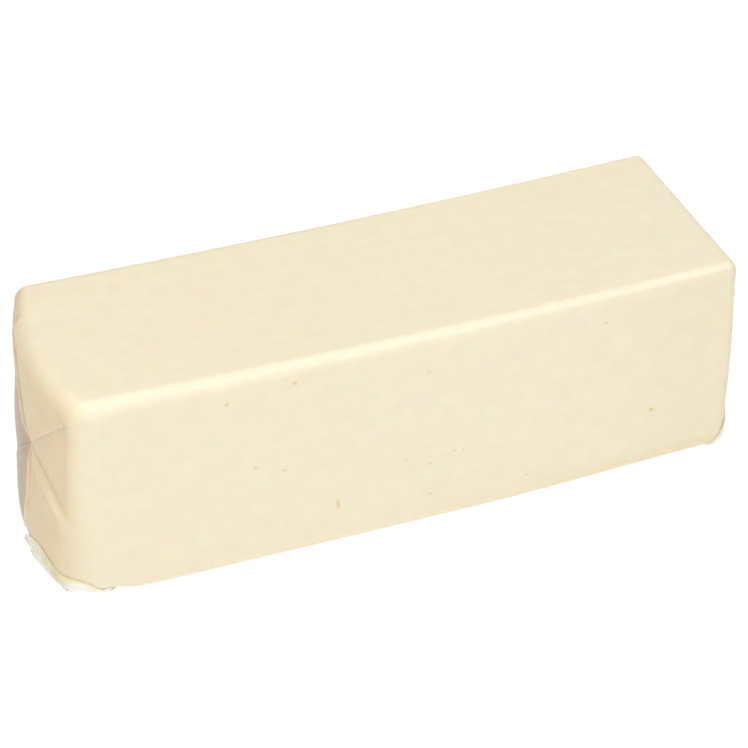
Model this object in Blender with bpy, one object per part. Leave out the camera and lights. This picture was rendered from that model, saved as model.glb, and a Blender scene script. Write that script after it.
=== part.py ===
"""A loaf of white American cheese, sealed skin-tight in clear film, lying on its long side.

The loaf is a soft-edged block. Its shown end (-X) leans out towards a foot, and carries the
envelope fold of the film: a flap from the top, an ear from each side and a panel from below,
which meet at the middle of the end. The film's spare length is gathered under each end, and its
folded edge sticks out there as a short tail. The other end is folded the same way, but leans less.

Metres, +Z up. The origin is at the middle of the box that holds the loaf, on its lowest level.
X runs along the loaf, and the long side that shows faces -Y.
"""

from math import atan2, exp, hypot, pi, radians, sin, sqrt, tan

import bmesh
import bpy
from mathutils import Vector

MM = 0.001

# The block, as a sharp-cornered box before its edges are rounded.
LENGTH = 260.0 * MM  # between the top edges of the two ends
WIDTH = 90.0 * MM
HEIGHT = 85.0 * MM
HALF_LENGTH, HALF_WIDTH, HALF_HEIGHT = LENGTH / 2, WIDTH / 2, HEIGHT / 2

# Its edges.
SHOWN_EDGE = 6.4 * MM  # the top edges and the upright ones, at the shown end
FAR_EDGE = 4.0 * MM  # the same at the other end
END_EXTRA = 1.0 * MM  # the edges of the shown end are this much softer
BASE_RADIUS = 3.7 * MM  # the long bottom edges, up to the middle
FAR_BASE = 8.4 * MM  # the same at the other end
FOOT_CORNER = 12.0 * MM  # the two bottom corners of the shown end, seen from above
FOOT_RISE = 6.0 * MM  # how high the shown end's bottom edge is rounded
FAR_FOOT = 6.5 * MM  # how far in the bottom edge of the other end is rounded
END_BAND = 0.80  # an end's edges start to change at this share of the half length
FAR_BASE_START = 0.2  # and the far end's long bottom edges at this share
LOW_START, LOW_FULL = -0.3, 0.9  # bottom edges begin and are complete so far below the middle
CORNER_START = 0.4  # a bottom corner begins at this share of the half width

# The block bends a little, so that both ends stand clear of the table.
BASE_BEND = 0.8 * MM
TOP_BEND = 1.8 * MM
FLAT_REST = 0.2 * MM  # how much of the bend the resting face has pressed flat
TOP_DISH = 0.5 * MM  # the long faces have sunk by this much as the cheese cooled
SIDE_DISH = 0.3 * MM

# How far each end stands out past the top edge, at its foot: along its middle and along its sides.
END_RUN = 34.0 * MM  # the length over which the block's sides follow the end
SHOWN_END = {"crown": 5.0 * MM, "lean": 7.2 * MM, "front_lean": 9.0 * MM, "back_lean": 3.8 * MM}
FAR_END = {"crown": 0.0 * MM, "lean": 4.5 * MM, "front_lean": 0.8 * MM, "back_lean": 2.0 * MM}
SIDE_LEAN_CURVE = 1.4  # the sides lean little near the top, and more towards the foot
SIDE_START, SIDE_CURVE = 0.86, 2.2  # the share of the half width where the sides' lean holds

# The tails of gathered film. They reach furthest, so they set the middle of the whole.
SHOWN_REACH = 12.0 * MM
FAR_REACH = 8.5 * MM
MIDDLE_X = (SHOWN_REACH - FAR_REACH) / 2
GATHERED = 3.0 * MM  # the film's layers under the end
TAIL_THICKNESS = 0.8 * MM  # the same at the free edge
TAIL_TUCK = 9.5 * MM  # how far inside the top edge the gathered film starts
TAIL_CURL = 1.6 * MM  # how far the free edge rises
CURL_START = 0.62  # from this share of the way out
WAVE_LEVEL, WAVE_SWING, WAVE_START, WAVE_TURN = 0.65, 0.35, 2.4, 7.5  # its rise waves along it
FRONT_FLAT, FRONT_FLAT_START = 0.75, 0.8  # and it lies flatter near the front
THIN_START, THIN_END = 0.35, 0.8  # the layers thin out between these shares of the way
TAIL_BACK, TAIL_FRONT = 34.0 * MM, -34.0 * MM  # how far it spans, along its free edge
TUCK_FRONT = -41.5 * MM  # where it comes out under the front
TAPER_START = 11.0 * MM  # its free edge draws back beyond this, either side of the middle
FRONT_TAPER, BACK_TAPER = 0.29, 0.16  # by this much for each unit of length

# How finely the mesh is divided.
LENGTH_STEPS = 14
FACE_STEPS = 16
ARC_STEPS = 3  # for each half of a rounded edge
CAP_RINGS = 9
TAIL_STEPS = 20
TAIL_ROWS = 6
STATION_GAP = 0.035  # stations closer than this to a fold's give way to it

# The folds of an end all start at its hub, and run to a place on its outline. Both are given in
# halves of its flat width and height. The layer that overlaps stands proud by lift along the fold,
# and sinks back into the panel over reach. The layer beneath it is pressed in by groove.
# over is the side that overlaps: +1 is anticlockwise of the fold when +Y is to the right.
SHOWN_HUB = (-0.12, 0.12)
SHOWN_FOLDS = (
    {"to": (-1.0, 1.0), "over": -1, "lift": 0.35 * MM, "reach": 7 * MM, "groove": 0.5 * MM},
    {"to": (0.5, 1.0), "over": -1, "lift": 0.5 * MM, "reach": 6 * MM, "groove": 0.6 * MM},
    {"to": (-1.0, -0.12), "over": 1, "lift": 1.5 * MM, "reach": 8 * MM, "groove": 0.7 * MM},
    {"to": (1.0, -0.85), "over": -1, "lift": 0.5 * MM, "reach": 9 * MM, "groove": 0.6 * MM},
)
SHOWN_SEAM = {"to": (0.05, -1.0), "over": 1, "lift": 0.5 * MM, "reach": 3 * MM, "groove": 0.2 * MM}
FAR_HUB = (0.1, 0.05)
FAR_FOLDS = (
    {"to": (-1.0, 0.9), "over": -1, "lift": 0.8 * MM, "reach": 7 * MM, "groove": 0.6 * MM},
    {"to": (1.0, 1.0), "over": 1, "lift": 0.6 * MM, "reach": 7 * MM, "groove": 0.6 * MM},
    {"to": (-1.0, -0.8), "over": 1, "lift": 1.1 * MM, "reach": 9 * MM, "groove": 0.6 * MM},
    {"to": (1.0, -0.6), "over": -1, "lift": 1.2 * MM, "reach": 8 * MM, "groove": 0.7 * MM},
)
FAR_SEAM = {"to": (-0.1, -1.0), "over": -1, "lift": 0.5 * MM, "reach": 3 * MM, "groove": 0.2 * MM}
FOLD_EDGE = 0.9 * MM  # the width over which a layer's edge steps up
GROOVE_WIDTH = 3.0 * MM
FOLD_START = 8.0 * MM  # a fold grows to its full relief over this length from the hub
FOLD_FADE = 9.0 * MM  # and dies out over this length either side of the end's flat edge
HUB_DEPTH = 1.8 * MM  # the pit where the layers meet
HUB_SPREAD = 6.0 * MM
PANEL_CROWN = 0.9 * MM  # each panel bellies out between its folds
CROWN_START = 24.0 * MM  # from the hub outwards
CROWN_FADE = 0.6  # and dies out from this share of the way to the rim

CHEESE = (0.90, 0.80, 0.58)


def ramp(value, low, high):
    """0 below low, 1 above high, and a smooth rise between them."""
    t = max(0.0, min(1.0, (value - low) / (high - low)))
    return t * t * (3 - 2 * t)


def mix(a, b, t):
    return a + (b - a) * t


# The soft-edged block


def edge_radii(sx, sy, sz):
    """The three radii that round the block at a place on it, given from -1 to 1 each way."""
    shown = ramp(-sx, END_BAND, 1.0)
    far = ramp(sx, END_BAND, 1.0)
    low = ramp(-sz, LOW_START, LOW_FULL)
    corner = ramp(abs(sy), CORNER_START, 1.0)
    edge = mix(SHOWN_EDGE, FAR_EDGE, (sx + 1) / 2)
    base = mix(BASE_RADIUS, FAR_BASE, ramp(sx, FAR_BASE_START, 1.0))
    along = edge + END_EXTRA * shown + shown * low * corner * (FOOT_CORNER - edge)
    along += far * low * (FAR_FOOT - edge)
    across = mix(edge, base, low) + shown * low * (FOOT_CORNER - base)
    up = mix(edge, base, low) + shown * low * (FOOT_RISE - base)
    return along, across, up


def on_axis(s, half, radius):
    """A coordinate on the sharp box: |s| up to 1 spans the flat, and 1 to 2 spans the rounding."""
    flat = half - radius
    if abs(s) <= 1:
        return s * flat
    side = 1 if s > 0 else -1
    return side * (flat + radius * tan(radians(45) * (abs(s) - 1)))


def block_point(sx, sy, sz):
    """The place and the outward direction on the rounded block, about its own middle."""
    clamped = [max(-1.0, min(1.0, s)) for s in (sx, sy, sz)]
    radii = edge_radii(*clamped)
    place, away = [], []
    for s, half, radius in zip((sx, sy, sz), (HALF_LENGTH, HALF_WIDTH, HALF_HEIGHT), radii):
        sharp = on_axis(s, half, radius)
        inner = max(radius - half, min(half - radius, sharp))
        place.append(inner)
        away.append((sharp - inner) / radius)
    size = sqrt(sum(a * a for a in away))
    away = [a / size for a in away]
    return [p + r * a for p, r, a in zip(place, radii, away)], away


# The ends


def end_reach(end, y, z):
    """How far an end stands out past its top edge, at a place on it."""
    down = max(0.0, min(1.0, 1 - z / HEIGHT))
    middle = end["crown"] + end["lean"] * down
    side = (end["front_lean"] if y < 0 else end["back_lean"]) * down**SIDE_LEAN_CURVE
    across = min(1.0, abs(y) / (SIDE_START * HALF_WIDTH))
    return mix(middle, side, across**SIDE_CURVE)


def on_flat(place):
    """Where a place that is given in halves of an end's flat lies, across and above its middle."""
    return place[0] * (HALF_WIDTH - FAR_EDGE), place[1] * (HALF_HEIGHT - FAR_EDGE)


def fold_height(fold, hub, y, z):
    """The relief that one fold gives to the end, at a place y across and z above its middle."""
    hub_y, hub_z = on_flat(hub)
    end_y, end_z = on_flat(fold["to"])
    way_y, way_z = end_y - hub_y, end_z - hub_z
    run = hypot(way_y, way_z)
    along = ((y - hub_y) * way_y + (z - hub_z) * way_z) / run
    beside = fold["over"] * (way_y * (z - hub_z) - way_z * (y - hub_y)) / run
    if along <= 0:
        return 0.0
    strength = ramp(along, 0, FOLD_START) * (1 - ramp(along, run - FOLD_FADE, run + FOLD_FADE))
    if beside >= 0:
        return strength * fold["lift"] * ramp(beside, 0, FOLD_EDGE) * exp(-beside / fold["reach"])
    return -strength * fold["groove"] * exp(beside / GROOVE_WIDTH)


def panel_crown(folds, hub, y, z):
    """Each panel bellies out: nothing along its folds, and most half way between them."""
    hub_y, hub_z = on_flat(hub)
    here = atan2(z - hub_z, y - hub_y) % (2 * pi)
    ends = [on_flat(f["to"]) for f in folds]
    turns = [atan2(end_z - hub_z, end_y - hub_y) % (2 * pi) for end_y, end_z in ends]
    before = max([t for t in turns if t <= here], default=max(turns) - 2 * pi)
    after = min([t for t in turns if t > here], default=min(turns) + 2 * pi)
    out = min(1.0, hypot(y - hub_y, z - hub_z) / CROWN_START)
    rim = max(abs(y) / HALF_WIDTH, abs(z) / HALF_HEIGHT)
    swell = sin(pi * (here - before) / (after - before)) ** 2
    return PANEL_CROWN * out * swell * (1 - ramp(rim, CROWN_FADE, 1.0))


def end_relief(shown, y, z):
    """The relief of a whole end at a place y across and z above its middle."""
    hub, folds, seam = (SHOWN_HUB, SHOWN_FOLDS, SHOWN_SEAM) if shown else (FAR_HUB, FAR_FOLDS, FAR_SEAM)
    hub_y, hub_z = on_flat(hub)
    pit = HUB_DEPTH * exp(-((hypot(y - hub_y, z - hub_z) / HUB_SPREAD) ** 2))
    creases = sum(fold_height(f, hub, y, z) for f in folds + (seam,))
    return panel_crown(folds, hub, y, z) + creases - pit


def loaf_point(sx, sy, sz):
    """A point of the finished loaf, in the part's own frame."""
    (x, y, z), away = block_point(sx, sy, sz)
    z += HALF_HEIGHT
    hollow = 1 - (x / HALF_LENGTH) ** 2
    z -= TOP_DISH * max(0.0, away[2]) ** 2 * hollow * (1 - (y / HALF_WIDTH) ** 2)
    y -= SIDE_DISH * away[1] * abs(away[1]) * hollow * (1 - (z / HALF_HEIGHT - 1) ** 2)
    shown = x < 0
    follow = ramp(abs(x), HALF_LENGTH - END_RUN, HALF_LENGTH)
    reach = follow * end_reach(SHOWN_END if shown else FAR_END, y, z)
    relief = away[0] ** 2 * follow * end_relief(shown, y, z - HALF_HEIGHT)
    bend = mix(BASE_BEND, TOP_BEND, z / HEIGHT) * (x / HALF_LENGTH) ** 2 - FLAT_REST
    x += (-1 if shown else 1) * (reach + relief)
    return MIDDLE_X + x, y, max(0.0, z + bend)


# The loaf's mesh


def station(p):
    """A place round the loaf's outline, as its two s values. Each side takes 4 of p's 16."""
    side, s = int(p // 4) % 4, p % 4 - 2
    return ((s, -2.0), (2.0, s), (-s, 2.0), (-2.0, -s))[side]


def place_of(sy, sz):
    """The p of a place round the outline."""
    if sz == -2:
        return sy + 2
    if sy == 2:
        return 4 + sz + 2
    if sz == 2:
        return 8 + 2 - sy
    return 12 + 2 - sz


def outline_stations():
    """Places round the loaf: evenly over the flats, closer over the edges, and at every fold."""
    arc = [(i + 1) / ARC_STEPS for i in range(ARC_STEPS)]
    flat = [1 + 2 * i / FACE_STEPS for i in range(FACE_STEPS + 1)]
    side = [0.0] + arc[:-1] + flat + [3 + a for a in arc[:-1]]
    spots = [4 * i + s for i in range(4) for s in side]
    for fold in SHOWN_FOLDS + (SHOWN_SEAM,) + FAR_FOLDS + (FAR_SEAM,):
        p = place_of(2 * fold["to"][0], 2 * fold["to"][1])
        beside = p + fold["over"] * 2 * FOLD_EDGE / (HALF_WIDTH - FAR_EDGE)
        spots = [q for q in spots if min(abs(q - p), abs(q - beside)) > STATION_GAP]
        spots += [p, beside]
    return [station(p % 16) for p in sorted(spots)]


def length_stations():
    """Places along the loaf, closer together near its ends."""
    arc = [1 + (i + 1) / ARC_STEPS for i in range(ARC_STEPS)]
    flat = [sin(pi / 2 * (2 * i / LENGTH_STEPS - 1)) for i in range(LENGTH_STEPS + 1)]
    return [-s for s in reversed(arc)] + flat + arc


def cap_point(side, hub, place, share):
    """A point of an end. share is 1 at the outline, 0.5 where its flat begins, and 0 at the hub."""
    if share >= 0.5:
        return loaf_point(2.0 * side, share * place[0], share * place[1])
    inward = 2 * share
    sy, sz = [mix(h, p / 2, inward) for h, p in zip(hub, place)]
    return loaf_point(2.0 * side, sy, sz)


def make_loaf():
    """Rings round the loaf's length, and rings over each end that close to its hub."""
    outline = outline_stations()
    count = len(outline)
    over_edge = [1 - (i + 1) / (2 * ARC_STEPS) for i in range(ARC_STEPS)]
    over_flat = [0.5 * (1 - (i + 1) / CAP_RINGS) for i in range(CAP_RINGS - 1)]
    bm = bmesh.new()
    rings = [[bm.verts.new(loaf_point(sx, sy, sz)) for sy, sz in outline] for sx in length_stations()]
    for share in over_edge + over_flat:
        rings.insert(0, [bm.verts.new(cap_point(-1, SHOWN_HUB, p, share)) for p in outline])
        rings.append([bm.verts.new(cap_point(1, FAR_HUB, p, share)) for p in outline])
    for low, high in zip(rings, rings[1:]):
        for i in range(count):
            j = (i + 1) % count
            bm.faces.new((low[i], low[j], high[j], high[i]))
    for ring, side, hub in ((rings[0], -1, SHOWN_HUB), (rings[-1], 1, FAR_HUB)):
        middle = bm.verts.new(cap_point(side, hub, outline[0], 0.0))
        for i in range(count):
            bm.faces.new((ring[i], ring[(i + 1) % count], middle))
    bmesh.ops.triangulate(bm, faces=bm.faces)
    return add_object("cheese_loaf", bm)


# The tails of film


def tail_point(reach, u, v):
    """A point of a tail at +X, and its thickness there.

    u runs from 0 at the back to 1 at the front, and v from 0 under the end to 1 at the free edge.
    """
    free_y = mix(TAIL_BACK, TAIL_FRONT, u)
    cut_back = FRONT_TAPER * max(0.0, -free_y - TAPER_START) + BACK_TAPER * max(0.0, free_y - TAPER_START)
    free = Vector((HALF_LENGTH + reach - cut_back, free_y, 0))
    tucked = Vector((HALF_LENGTH - TAIL_TUCK, mix(TAIL_BACK, TUCK_FRONT, u), 0))
    point = tucked.lerp(free, v)
    wave = WAVE_LEVEL + WAVE_SWING * sin(WAVE_START + WAVE_TURN * u)
    rise = wave * (1 - FRONT_FLAT * ramp(u, FRONT_FLAT_START, 1.0))
    point.z = TAIL_CURL * rise * ramp(v, CURL_START, 1.0)
    return point, mix(GATHERED, TAIL_THICKNESS, ramp(v, THIN_START, THIN_END))


def make_tail(name, side, reach):
    """The gathered film under an end: a wedge that thins to a sheet and curls up along its edge."""
    bm = bmesh.new()
    sheets = []
    for top in (0, 1):
        rows = []
        for i in range(TAIL_STEPS + 1):
            row = []
            for j in range(TAIL_ROWS + 1):
                point, thickness = tail_point(reach, i / TAIL_STEPS, j / TAIL_ROWS)
                row.append(bm.verts.new((MIDDLE_X + side * point.x, point.y, point.z + top * thickness)))
            rows.append(row)
        sheets.append(rows)
    for rows in sheets:
        for a, b in zip(rows, rows[1:]):
            for j in range(TAIL_ROWS):
                bm.faces.new((a[j], b[j], b[j + 1], a[j + 1]))
    rims = []
    for rows in sheets:
        rim = [row[0] for row in rows] + rows[-1][1:]
        rims.append(rim + [row[-1] for row in reversed(rows[:-1])] + list(reversed(rows[0][1:-1])))
    below, above = rims
    for i in range(len(below)):
        j = (i + 1) % len(below)
        bm.faces.new((below[i], below[j], above[j], above[i]))
    bmesh.ops.triangulate(bm, faces=bm.faces)
    return add_object(name, bm)


def add_object(name, bm):
    bmesh.ops.recalc_face_normals(bm, faces=bm.faces)
    mesh = bpy.data.meshes.new(name)
    bm.to_mesh(mesh)
    bm.free()
    mesh.shade_smooth()
    piece = bpy.data.objects.new(name, mesh)
    bpy.context.scene.collection.objects.link(piece)
    return piece


def fuse(body, part):
    """Joins a guide piece to the body, which keeps the result."""
    part.hide_render = True
    part.display_type = "WIRE"
    union = body.modifiers.new(part.name, "BOOLEAN")
    union.operation = "UNION"
    union.solver = "EXACT"
    union.object = part


def main():
    for old in list(bpy.data.objects):
        bpy.data.objects.remove(old)
    loaf = make_loaf()
    fuse(loaf, make_tail("shown_tail", -1, SHOWN_REACH))
    fuse(loaf, make_tail("far_tail", 1, FAR_REACH))
    material = bpy.data.materials.new("wrapped_cheese")
    material.use_nodes = True
    surface = material.node_tree.nodes["Principled BSDF"]
    surface.inputs["Base Color"].default_value = (*CHEESE, 1)
    surface.inputs["Roughness"].default_value = 0.3
    surface.inputs["Metallic"].default_value = 0.0
    loaf.data.materials.append(material)


main()
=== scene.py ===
from math import pi, radians

import bmesh
import bpy
import numpy as np
from mathutils import Matrix, Vector
from mathutils.bvhtree import BVHTree


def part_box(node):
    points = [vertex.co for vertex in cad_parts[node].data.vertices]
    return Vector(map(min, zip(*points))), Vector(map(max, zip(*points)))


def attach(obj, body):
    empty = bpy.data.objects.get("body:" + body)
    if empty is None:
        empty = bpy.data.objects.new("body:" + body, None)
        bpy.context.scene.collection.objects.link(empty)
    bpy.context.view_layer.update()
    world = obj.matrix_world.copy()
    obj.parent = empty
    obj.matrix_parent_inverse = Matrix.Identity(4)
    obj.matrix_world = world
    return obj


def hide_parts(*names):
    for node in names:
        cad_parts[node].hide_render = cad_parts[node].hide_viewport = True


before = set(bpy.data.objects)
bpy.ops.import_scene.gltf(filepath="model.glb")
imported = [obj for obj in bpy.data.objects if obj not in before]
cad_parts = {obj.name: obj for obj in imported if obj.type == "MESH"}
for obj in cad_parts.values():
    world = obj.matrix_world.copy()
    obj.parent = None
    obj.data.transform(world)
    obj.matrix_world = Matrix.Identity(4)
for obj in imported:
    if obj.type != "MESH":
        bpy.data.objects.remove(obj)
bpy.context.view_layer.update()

# The cheese
# One long block of white process cheese, run hot into its film and cooled there. So its edges are
# soft, its long faces have sunk a little, and its two ends carry the print of the folded film.

MM = 0.001
loaf_low, loaf_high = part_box("cheese_loaf")
WIDTH = loaf_high.y - loaf_low.y
LENGTH = 260 * MM  # between the top edges of the two ends
HEIGHT = 85 * MM
HALF_LENGTH, HALF_WIDTH, HALF_HEIGHT = LENGTH / 2, WIDTH / 2, HEIGHT / 2
MIDDLE_X = 1.75 * MM  # the block's own middle, as the tail of film is longer at the shown end

# The radii of the long top edges at the shown and the far end, with what the shown end's own edges
# have more, and of the long base edges at the same two ends.
SHOWN_EDGE, FAR_EDGE, END_EXTRA = 6.4 * MM, 4.0 * MM, 1.0 * MM
BASE_RADIUS, FAR_BASE = 3.7 * MM, 8.4 * MM
FOOT_CORNER, FOOT_RISE, FAR_FOOT = 12 * MM, 6 * MM, 6.5 * MM  # the same at the foot of each end
# How far the ends of the base and of the top bend up, and how far the middle sinks to rest flat.
BASE_BEND, TOP_BEND, FLAT_REST = 0.6 * MM, 1.8 * MM, 0.2 * MM
TOP_DISH, SIDE_DISH = 0.5 * MM, 0.3 * MM  # how hollow the top and the upright faces are
# Where the radii begin to change, as shares of the half length, height and width.
SHOWN_START, FAR_START, FAR_BASE_START = 0.84, 0.80, 0.2
LOW_BAND, CORNER_START = (-0.3, 0.9), 0.4
END_RUN = 34 * MM  # the length over which the block's sides follow its ends
# How far an end stands out past its top edge: in its middle over the whole height, and at its foot
# in the middle, at the front and at the back.
SHOWN_END = {"crown": 5.0 * MM, "lean": 7.2 * MM, "front_lean": 9.0 * MM, "back_lean": 3.8 * MM}
FAR_END = {"crown": 0.0, "lean": 4.5 * MM, "front_lean": 0.8 * MM, "back_lean": 2.0 * MM}
# At its sides an end leans out along a curve, and they start at this share of its half width.
SIDE_LEAN_CURVE = 1.4
SIDE_START, SIDE_CURVE = 0.86, 2.2


def ramp(value, low, high):
    """0 below low, 1 above high, and a smooth rise between them."""
    t = np.clip((value - low) / (high - low), 0, 1)
    return t * t * (3 - 2 * t)


def mix(a, b, t):
    """The value at share t of the way from a to b."""
    return a + (b - a) * t


def edge_radii(sx, sy, sz):
    """The three radii that round the block at places on it, given from -1 to 1 each way."""
    shown = ramp(-sx, SHOWN_START, 1.0)
    far = ramp(sx, FAR_START, 1.0)
    low = ramp(-sz, *LOW_BAND)
    corner = ramp(np.abs(sy), CORNER_START, 1.0)
    edge = mix(SHOWN_EDGE, FAR_EDGE, (sx + 1) / 2)
    base = mix(BASE_RADIUS, FAR_BASE, ramp(sx, FAR_BASE_START, 1.0))
    along = edge + END_EXTRA * shown + shown * low * corner * (FOOT_CORNER - edge)
    along = along + far * low * (FAR_FOOT - edge)
    across = mix(edge, base, low) + shown * low * (FOOT_CORNER - base)
    up = mix(edge, base, low) + shown * low * (FOOT_RISE - base)
    return along, across, up


def on_axis(s, half, radius):
    """Coordinates on the sharp box: |s| up to 1 spans the flat, and 1 to 2 spans the rounding."""
    flat = half - radius
    rounding = flat + radius * np.tan(pi / 4 * (np.abs(s) - 1))
    return np.where(np.abs(s) <= 1, s * flat, np.sign(s) * rounding)


def block_points(sx, sy, sz):
    """Places and outward directions on the rounded block, about its own middle."""
    radii = edge_radii(*(np.clip(s, -1, 1) for s in (sx, sy, sz)))
    held, away = [], []
    for s, half, radius in zip((sx, sy, sz), (HALF_LENGTH, HALF_WIDTH, HALF_HEIGHT), radii):
        sharp = on_axis(s, half, radius)
        inner = np.clip(sharp, radius - half, half - radius)
        held.append(inner)
        away.append((sharp - inner) / radius)
    size = np.sqrt(sum(a * a for a in away))
    away = [a / size for a in away]
    return [p + r * a for p, r, a in zip(held, radii, away)], away


def end_reach(end, y, z):
    """How far an end stands out past its top edge, at places on it."""
    down = np.clip(1 - z / HEIGHT, 0, 1)
    middle = end["crown"] + end["lean"] * down
    side = np.where(y < 0, end["front_lean"], end["back_lean"]) * down**SIDE_LEAN_CURVE
    across = np.minimum(1.0, np.abs(y) / (SIDE_START * HALF_WIDTH))
    return mix(middle, side, across**SIDE_CURVE)


# The folds of an end start at its hub. Each runs through some places across the end and above its
# middle, in mm, to the side of the end: a place round its outline, in halves of the flat. The upper
# layer lies on the side that "over" says, by "lift", and the lower one sinks by "groove". A pocket
# is where the upper layer's edge slopes over a wider band: how wide, at some lengths along the fold.
SHOWN_HUB = (-4.9, 4.6)
SHOWN_FOLDS = {
    "front_corner": {
        "via": ((-24.5, 20.6),),
        "to": (-1.0, 0.91),
        "over": -1,
        "lift": 0.3,
        "reach": 7,
        "groove": 0.35,
    },
    "back_ear": {
        "via": (),
        "to": (0.5, 1.0),
        "over": -1,
        "lift": 0.6,
        "reach": 7,
        "groove": 0.5,
        "shine": 0.7,
    },
    "panel_front": {
        "via": ((-14, 6.8), (-22.8, 5.0), (-30.3, 1.0)),
        "to": (-1.0, -0.21),
        "over": 1,
        "lift": 2.1,
        "reach": 8,
        "groove": 0.5,
        "start": 20,
        "pocket": ((0, 0.7), (8, 1.8), (14, 4.0), (20, 6.5), (25, 4.8), (30, 3.0), (37, 1.8)),
    },
    "panel_back": {"via": (), "to": (1.0, -0.85), "over": -1, "lift": 0.25, "reach": 9, "groove": 0.4},
    "seam": {
        "via": ((-8.5, -5), (-8, -17), (-4, -29)),
        "to": (0.05, -1.0),
        "over": 1,
        "lift": 0.6,
        "reach": 3,
        "groove": 0.3,
        "shine": 0.4,
    },
}
# Soft rolls where the film is drawn tight: the places that each runs through, its height and width.
SHOWN_ROLLS = (
    {"path": ((-12, 6), (-16, 4.5), (-17, 0.5), (-18.5, -2.6), (-23, -3.2)), "rise": 0.4, "width": 1.1},
    {"path": ((-9.5, 12), (-12.8, 19.7), (-15.3, 26), (-18, 32), (-20, 38)), "rise": 0.55, "width": 2.6},
    {
        "path": ((-11.6, -4), (-10.3, -9), (-8.6, -15), (-6.6, -21), (-4, -30), (-2, -36)),
        "rise": 0.35,
        "width": 0.7,
    },
    {"path": ((-33, -7.6), (-36.5, -9.6), (-41, -11.5)), "rise": 0.45, "width": 0.7},
    {"path": ((-36, -10.5), (-38.3, -13.5), (-40.5, -18)), "rise": 0.4, "width": 0.8},
    {"path": ((-32, -17), (-35, -22), (-38, -25)), "rise": -0.35, "width": 1.6},
    {"path": ((-24, 14), (-31, 16), (-37, 16)), "rise": 0.2, "width": 2.2},
    {"path": ((-14, -12), (-18, -22), (-20, -33)), "rise": 0.25, "width": 2.4},
)
FAR_HUB = (4.1, 1.9)
FAR_FOLDS = {
    "front_corner": {"via": (), "to": (-1.0, 0.9), "over": -1, "lift": 0.8, "reach": 7, "groove": 0.6},
    "back_corner": {"via": (), "to": (1.0, 1.0), "over": 1, "lift": 0.6, "reach": 7, "groove": 0.6},
    "panel_front": {
        "via": ((-9, -2), (-22, -12)),
        "to": (-1.0, -0.8),
        "over": 1,
        "lift": 1.1,
        "reach": 9,
        "groove": 0.6,
    },
    "panel_back": {
        "via": ((14, -1.5), (26, -9)),
        "to": (1.0, -0.6),
        "over": -1,
        "lift": 1.2,
        "reach": 8,
        "groove": 0.7,
    },
    "seam": {"via": ((2, -18),), "to": (-0.1, -1.0), "over": -1, "lift": 0.5, "reach": 3, "groove": 0.2},
}
FAR_ROLLS = (
    {"path": ((-8, -4), (-14, -14), (-17, -26), (-18, -34)), "rise": 0.3, "width": 1.8},
    {"path": ((8, 8), (12, 20), (14, 33)), "rise": 0.3, "width": 2.4},
    {"path": ((22, -14), (31, -17), (38, -18)), "rise": 0.25, "width": 1.0},
    {"path": ((-20, 22), (-29, 24), (-38, 25)), "rise": 0.2, "width": 1.2},
    {"path": ((3, -8), (4.5, -20), (1, -34)), "rise": 0.22, "width": 0.7},
)
ROLL_FADE = 4.0 * MM
FOLD_EDGE = 0.7 * MM  # the width over which a layer's edge steps up
GROOVE_WIDTH = 2.6 * MM
CREASE_WIDTH = 0.35 * MM  # the painted shade line where two layers meet
FOLD_START = 8  # mm, over which a fold rises from the hub, where it doesn't say otherwise
FOLD_FADE = 9.0 * MM
SHINE_WIDTH = 0.7 * MM  # the painted highlight along the edge of an upper layer
CREASE_SET_BACK = 0.1 * MM  # the crease lies just under the upper layer's edge
HUB_DEPTH, HUB_SPREAD, HUB_CREASE = 1.8 * MM, 6.0 * MM, 2.1 * MM
PANEL_CROWN, CROWN_START, CROWN_FADE = 0.9 * MM, 24 * MM, 0.6  # each panel swells between its folds
EAR_SLOPE, EAR_RUN = 0.05, 22 * MM  # the ear at the back of the shown end falls away
EAR_TOP = (20.5, 38.5)  # where its front edge ends, in mm across the end and above its middle
PATH_STEPS = 24


def through(points, steps):
    """A smooth curve through some points, as an array of points."""
    points = [np.array(p, float) for p in points]
    ends = [2 * points[0] - points[1]] + points + [2 * points[-1] - points[-2]]
    runs = len(points) - 1
    curve = []
    for i in range(steps + 1):
        k = min(runs - 1, i * runs // steps)
        t = i * runs / steps - k
        a, b, c, d = ends[k : k + 4]
        bend = (2 * a - 5 * b + 4 * c - d) * t**2 + (3 * b - a - 3 * c + d) * t**3
        curve.append(b + 0.5 * ((c - a) * t + bend))
    return np.array(curve)


def rim_place(to):
    """Where a place that is given in halves of an end's flat lies, across and above its middle."""
    return to[0] * (HALF_WIDTH - FAR_EDGE), to[1] * (HALF_HEIGHT - FAR_EDGE)


def fold_path(hub, fold):
    """The line of a fold's edge, from the end's hub to its side."""
    places = [np.array(p) * MM for p in (hub,) + tuple(fold["via"])]
    return through(places + [rim_place(fold["to"])], PATH_STEPS)


def beside_path(path, y, z):
    """How far along a path the places y, z lie, and how far to its left."""
    nearest = np.full(y.shape, 1e9)
    along, beside = np.zeros(y.shape), np.zeros(y.shape)
    start = 0.0
    for i, (a, b) in enumerate(zip(path, path[1:])):
        way = b - a
        run = np.hypot(*way)
        way = way / run
        t = (y - a[0]) * way[0] + (z - a[1]) * way[1]
        held = np.clip(t, 0 if i else -1, 1e9 if i == len(path) - 2 else run)
        side = way[0] * (z - a[1]) - way[1] * (y - a[0])
        gap = np.hypot(y - a[0] - held * way[0], z - a[1] - held * way[1])
        near = gap < nearest
        nearest = np.where(near, gap, nearest)
        along = np.where(near, start + held, along)
        beside = np.where(near, np.copysign(gap, side), beside)
        start += run
    return along, beside, start


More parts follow.
